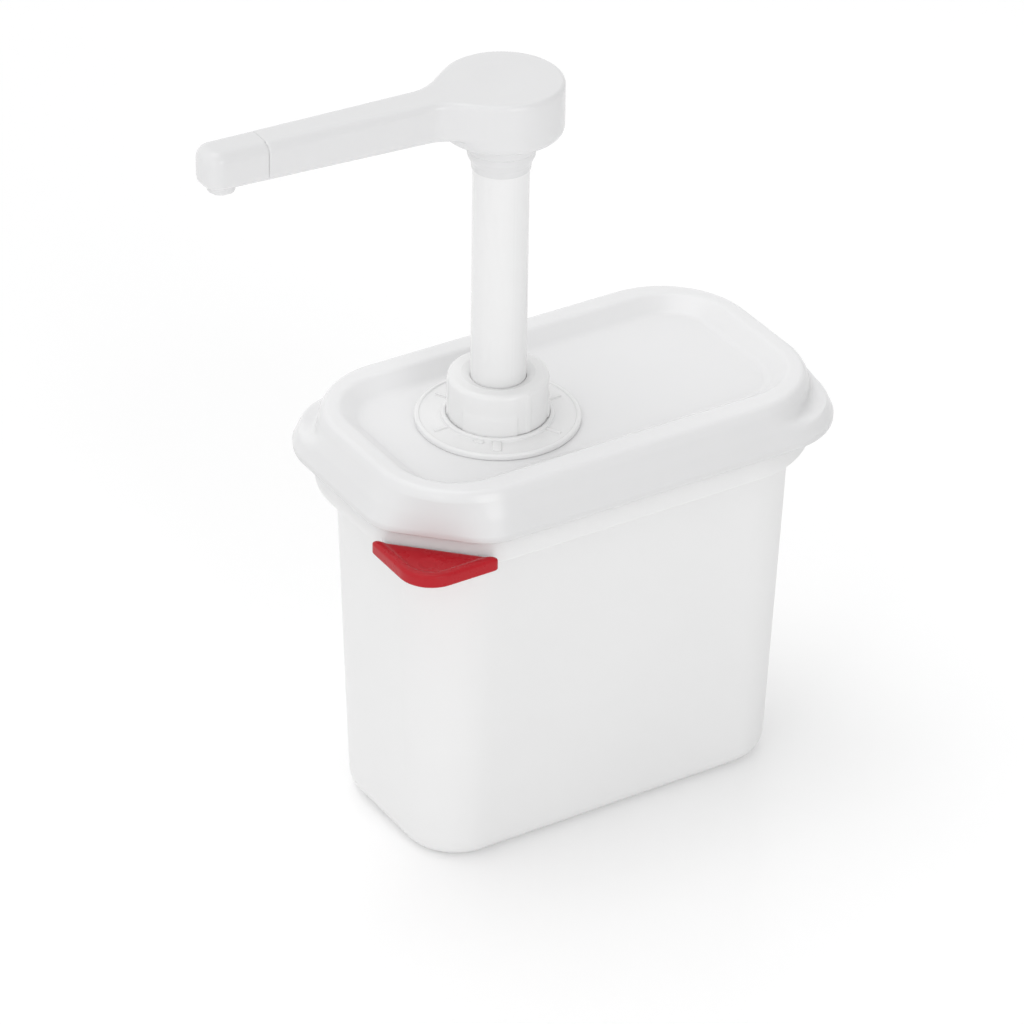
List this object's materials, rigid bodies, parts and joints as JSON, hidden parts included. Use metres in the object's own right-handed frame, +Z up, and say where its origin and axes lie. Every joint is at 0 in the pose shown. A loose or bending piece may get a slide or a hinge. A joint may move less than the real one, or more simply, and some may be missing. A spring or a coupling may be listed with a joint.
{
  "type": "condiment pump dispenser",
  "caption": "Plunger pump with a long swivelling spout arm, standing in the lid of a small gastronorm food container with a colour clip on one corner.",
  "frame": {"origin": "centre of the container's base, on the surface it stands on", "axes": "+Z up along the pump; the container's long side runs along Y and the nozzle points towards -Y; the clip is on the +X, -Y corner"},
  "size_m": [0.1055, 0.2253, 0.2793],
  "materials": {
    "container_pp": "translucent natural polypropylene, satin",
    "lid_pp": "translucent natural polyethylene, semi-gloss",
    "pump_white": "white moulded polypropylene, semi-gloss",
    "inner_pp": "natural polypropylene",
    "clip_red": "coloured polypropylene, semi-gloss",
    "silicone": "food-grade silicone",
    "stainless": "polished stainless steel"
  },
  "bodies": {
    "container": {"container": "container_pp"},
    "clip": {"colour_clip": "clip_red"},
    "lid": {"lid": "lid_pp", "pump_flange": "pump_white", "flange_gasket": "silicone", "back_nut": "pump_white", "pump_cylinder": "inner_pp", "cylinder_gasket": "silicone", "stem_guide": "inner_pp", "stem_wiper": "silicone", "collar_nut": "pump_white", "foot_valve": "inner_pp", "inlet_ball_cage": "inner_pp", "dip_tube": "inner_pp", "return_spring": "stainless"},
    "inlet_ball": {"inlet_ball": "stainless"},
    "piston": {"piston_body": "inner_pp", "piston_cup_seal": "silicone"},
    "head": {"stem_tube": "pump_white", "stem_circlip": "stainless", "stem_lock_ring": "pump_white", "stem_oring": "silicone", "outlet_valve_seat": "inner_pp", "outlet_ball_cage": "inner_pp", "pump_head": "pump_white", "nozzle_tip": "pump_white", "nozzle_oring": "silicone"},
    "outlet_ball": {"outlet_ball": "stainless"}
  },
  "joints": [
    {"name": "lid_lift", "type": "slide", "parent": "container", "child": "lid", "axis": [0, 0, 1], "range_m": [0, 0.17]},
    {"name": "clip_pull", "type": "slide", "parent": "container", "child": "clip", "axis": [0.7071, -0.7071, 0], "range_m": [0, 0.02]},
    {"name": "pump_stroke", "type": "slide", "parent": "lid", "child": "piston", "axis": [0, 0, -1], "range_m": [0, 0.075], "stiffness_N_per_m": 120, "springref_m": -0.03, "deforming": ["return_spring"]},
    {"name": "head_swivel", "type": "hinge", "parent": "piston", "child": "head", "pos_m": [0, -0.0268, 0.2], "axis": [0, 0, 1], "continuous": true},
    {"name": "inlet_ball_lift", "type": "slide", "parent": "lid", "child": "inlet_ball", "axis": [0, 0, 1], "range_m": [0, 0.003]},
    {"name": "outlet_ball_lift", "type": "slide", "parent": "head", "child": "outlet_ball", "axis": [0, 0, 1], "range_m": [0, 0.003]}
  ]
}
